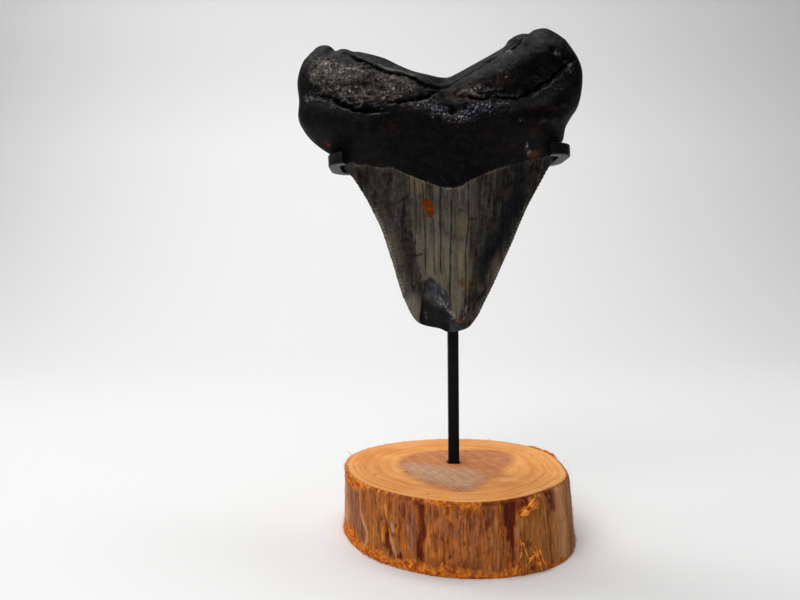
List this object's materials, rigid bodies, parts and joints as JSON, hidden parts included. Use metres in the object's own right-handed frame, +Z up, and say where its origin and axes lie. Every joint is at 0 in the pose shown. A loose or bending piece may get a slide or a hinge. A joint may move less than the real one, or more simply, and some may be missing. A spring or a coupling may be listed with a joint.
{
  "type": "fossil shark tooth on a stand",
  "caption": "Fossil shark tooth, crown down, held by a bent square steel cradle on an upright bar set in a round slice of wood with its bark.",
  "frame": {"origin": "on the underside of the wood slice, straight below the upright bar", "axes": "+Z up; the tooth's lingual face looks along -Y and +X is to the right of it"},
  "size_m": [0.081, 0.0647, 0.146],
  "materials": {
    "fossil_tooth": "satin",
    "black_steel": "satin",
    "wood_and_bark": "matte"
  },
  "bodies": {
    "root": {"tooth": "fossil_tooth", "cradle_bar": "black_steel", "upright_bar": "black_steel", "wood_slice": "wood_and_bark"}
  },
  "joints": []
}
